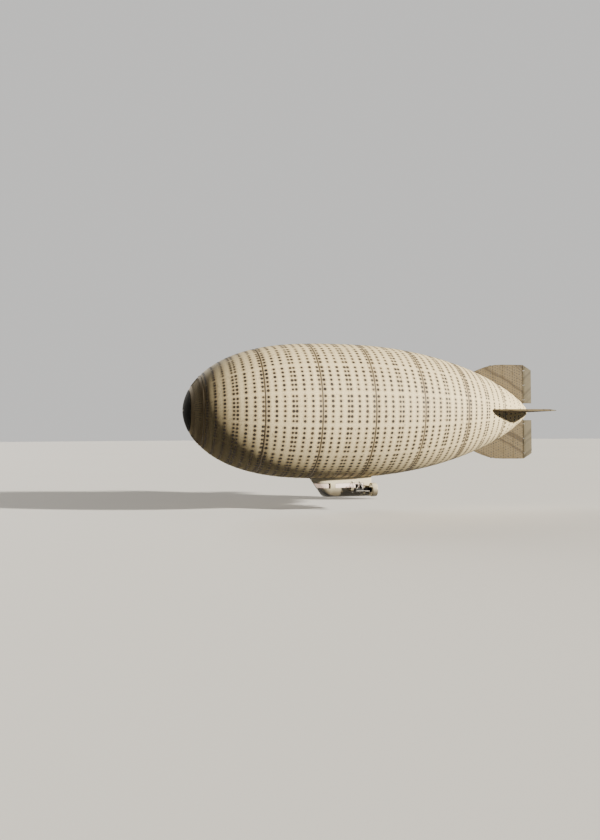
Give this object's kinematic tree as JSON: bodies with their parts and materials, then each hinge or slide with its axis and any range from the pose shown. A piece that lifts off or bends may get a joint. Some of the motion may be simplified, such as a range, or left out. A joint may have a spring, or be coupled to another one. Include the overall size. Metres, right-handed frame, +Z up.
{
  "type": "small non-rigid airship",
  "caption": "Oval gas envelope with a black nose cap, four tail fins with rudders and elevators, and a glazed gondola with ducted pusher propellers.",
  "frame": {"origin": "the envelope's centre of buoyancy, on its long axis, where the air holds the ship up", "axes": "+X towards the nose, +Y to port, +Z up"},
  "size_m": [39.35, 13.9928, 15.9664],
  "materials": {
    "envelope_fabric": "matt coated fabric with rows of dark round patches and brown stains",
    "tail_skin": "doped fabric, tan with small dark dots and darker slanting bands",
    "flap_skin": "doped fabric, plain grey beige",
    "black_shell": "satin black",
    "cream_paint": "glossy cream",
    "window_glass": "clear, with a pale sheen",
    "engine_black": "black enamel",
    "chrome": "bright",
    "steel": "dull grey",
    "seat_fabric": "worn brown"
  },
  "bodies": {
    "hull": {"envelope": "envelope_fabric", "nose_cap": "black_shell", "fin_upper": "tail_skin", "fin_lower": "tail_skin", "fin_port": "tail_skin", "fin_starboard": "tail_skin", "hinge_pin_upper": "steel", "hinge_pin_lower": "steel", "hinge_pin_port": "steel", "hinge_pin_starboard": "steel", "saddle": "cream_paint", "tub": "cream_paint", "bow_frame": "cream_paint", "side_port": "cream_paint", "side_starboard": "cream_paint", "transom": "cream_paint", "windshield_port": "window_glass", "windshield_starboard": "window_glass", "window_port": "window_glass", "window_starboard": "window_glass", "door_hinge_upper": "steel", "door_hinge_lower": "steel", "seat_port": "seat_fabric", "seat_starboard": "seat_fabric", "bench_rear": "seat_fabric", "console": "black_shell", "engine_port": "engine_black", "intake_port": "chrome", "exhaust_port": "chrome", "outrigger_port": "steel", "nacelle_port": "black_shell", "duct_port": "cream_paint", "engine_starboard": "engine_black", "intake_starboard": "chrome", "exhaust_starboard": "chrome", "outrigger_starboard": "steel", "nacelle_starboard": "black_shell", "duct_starboard": "cream_paint"},
    "rudder_upper": {"rudder_upper": "flap_skin"},
    "rudder_lower": {"rudder_lower": "flap_skin"},
    "elevator_port": {"elevator_port": "flap_skin"},
    "elevator_starboard": {"elevator_starboard": "flap_skin"},
    "propeller_port": {"propeller_port": "engine_black"},
    "propeller_starboard": {"propeller_starboard": "engine_black"},
    "door_starboard": {"door_starboard": "cream_paint", "window_door": "window_glass"}
  },
  "joints": [
    {"name": "rudder_upper_turn", "type": "hinge", "parent": "hull", "child": "rudder_upper", "pos_m": [-21.05, 0, 3.1], "axis": [0, 0, 1], "range_deg": [-25, 25]},
    {"name": "rudder_lower_turn", "type": "hinge", "parent": "hull", "child": "rudder_lower", "pos_m": [-21.05, 0, -3.1], "axis": [0, 0, 1], "range_deg": [-25, 25]},
    {"name": "elevator_port_turn", "type": "hinge", "parent": "hull", "child": "elevator_port", "pos_m": [-21.05, 3.1, 0], "axis": [0, 1, 0], "range_deg": [-25, 25]},
    {"name": "elevator_starboard_turn", "type": "hinge", "parent": "hull", "child": "elevator_starboard", "pos_m": [-21.05, -3.1, 0], "axis": [0, 1, 0], "range_deg": [-25, 25]},
    {"name": "propeller_port_spin", "type": "hinge", "parent": "hull", "child": "propeller_port", "pos_m": [-2.11, 1.9, -8.17], "axis": [1, 0, 0], "continuous": true},
    {"name": "propeller_starboard_spin", "type": "hinge", "parent": "hull", "child": "propeller_starboard", "pos_m": [-2.11, -1.9, -8.17], "axis": [1, 0, 0], "continuous": true},
    {"name": "door_swing", "type": "hinge", "parent": "hull", "child": "door_starboard", "pos_m": [1.72, -1.072, -7.9], "axis": [0, 0, 1], "range_deg": [0, 90]}
  ],
  "couplings": [
    {"joint": "rudder_lower_turn", "follows": "rudder_upper_turn", "ratio": 1},
    {"joint": "elevator_starboard_turn", "follows": "elevator_port_turn", "ratio": 1}
  ]
}
